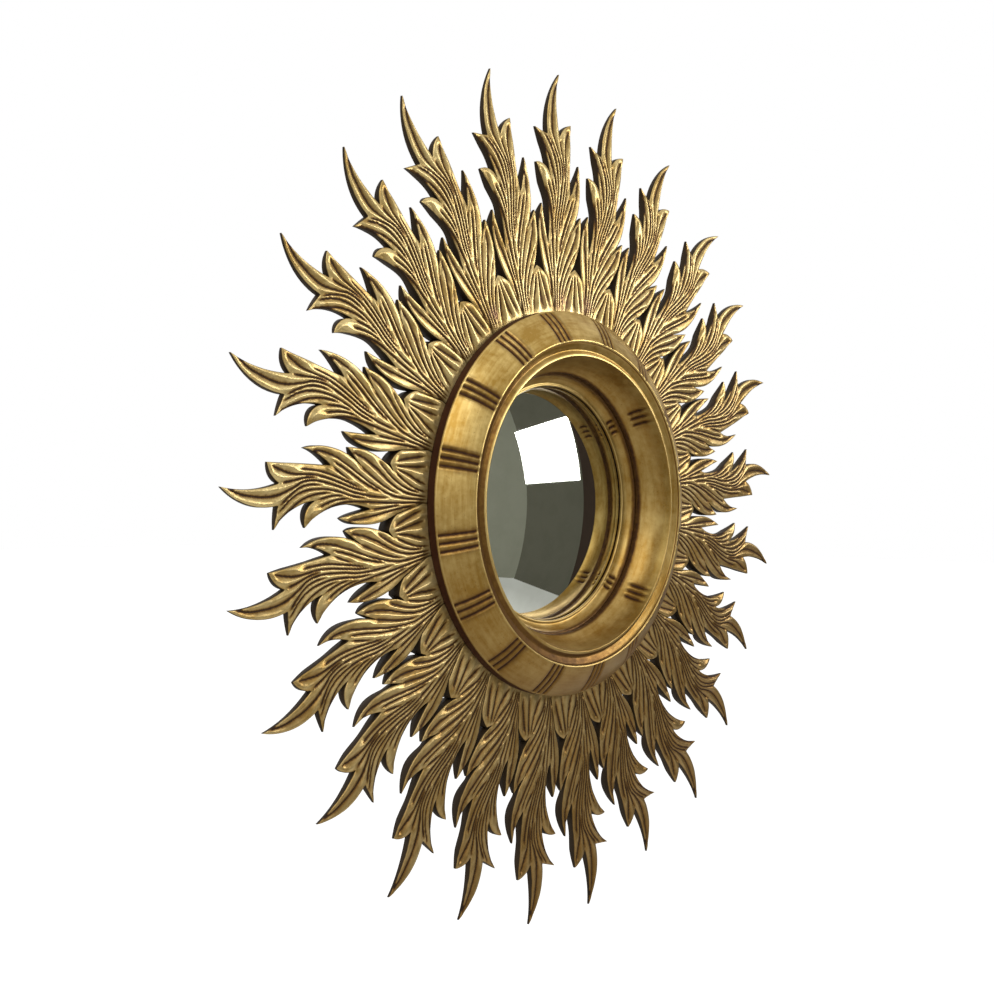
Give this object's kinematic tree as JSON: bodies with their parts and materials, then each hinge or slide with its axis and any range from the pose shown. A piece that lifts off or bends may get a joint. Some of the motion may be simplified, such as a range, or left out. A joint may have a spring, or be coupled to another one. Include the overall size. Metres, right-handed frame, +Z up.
{
  "type": "convex butlers mirror",
  "caption": "Round convex wall mirror in a turned giltwood ring with carved flame rays, closed at the back and hung from a swinging ring.",
  "frame": {"origin": "On the mirror's axis, at the centre of the flat back that meets the wall.", "axes": "+Z up as it hangs, +X to the viewer's right, +Y from the front of the glass into the wall."},
  "size_m": [0.8434, 0.0625, 0.8665],
  "materials": {
    "gilt_rays": "worn gold leaf over red bole on carved wood",
    "gilt_ring": "burnished, worn gold leaf over red bole on turned wood",
    "gilt_sight_ring": "dulled gold leaf on turned wood",
    "silvered_glass": "domed glass, silvered at the back",
    "felt": "pressed felt",
    "hardboard": "smooth brown hardboard",
    "plywood": "bare plywood",
    "zinc_screws": "zinc plated",
    "brass_screws": "dull brass",
    "hanger_steel": "brassed steel strip, dull",
    "hanger_wire": "brassed steel wire, dull"
  },
  "bodies": {
    "mirror": {"ray_01": "gilt_rays", "ray_02": "gilt_rays", "ray_03": "gilt_rays", "ray_04": "gilt_rays", "ray_05": "gilt_rays", "ray_06": "gilt_rays", "ray_07": "gilt_rays", "ray_08": "gilt_rays", "ray_09": "gilt_rays", "ray_10": "gilt_rays", "ray_11": "gilt_rays", "ray_12": "gilt_rays", "ray_13": "gilt_rays", "ray_14": "gilt_rays", "ray_15": "gilt_rays", "ray_16": "gilt_rays", "ray_17": "gilt_rays", "ray_18": "gilt_rays", "ray_19": "gilt_rays", "ray_20": "gilt_rays", "ray_21": "gilt_rays", "ray_22": "gilt_rays", "ray_23": "gilt_rays", "ray_24": "gilt_rays", "ray_25": "gilt_rays", "ring_moulding": "gilt_ring", "sight_ring": "gilt_sight_ring", "mirror_glass": "silvered_glass", "packing_ring": "felt", "backboard": "hardboard", "carrier_ring": "plywood", "ring_screws": "zinc_screws", "backboard_screws": "brass_screws", "hanger_strap": "hanger_steel", "hanger_screws": "zinc_screws"},
    "hanging_ring": {"hanger_ring": "hanger_wire"}
  },
  "joints": [
    {"name": "hanging_ring_swing", "type": "hinge", "parent": "mirror", "child": "hanging_ring", "pos_m": [0, -0.0048, 0.186], "axis": [-1, 0, 0], "range_deg": [0, 170]}
  ]
}
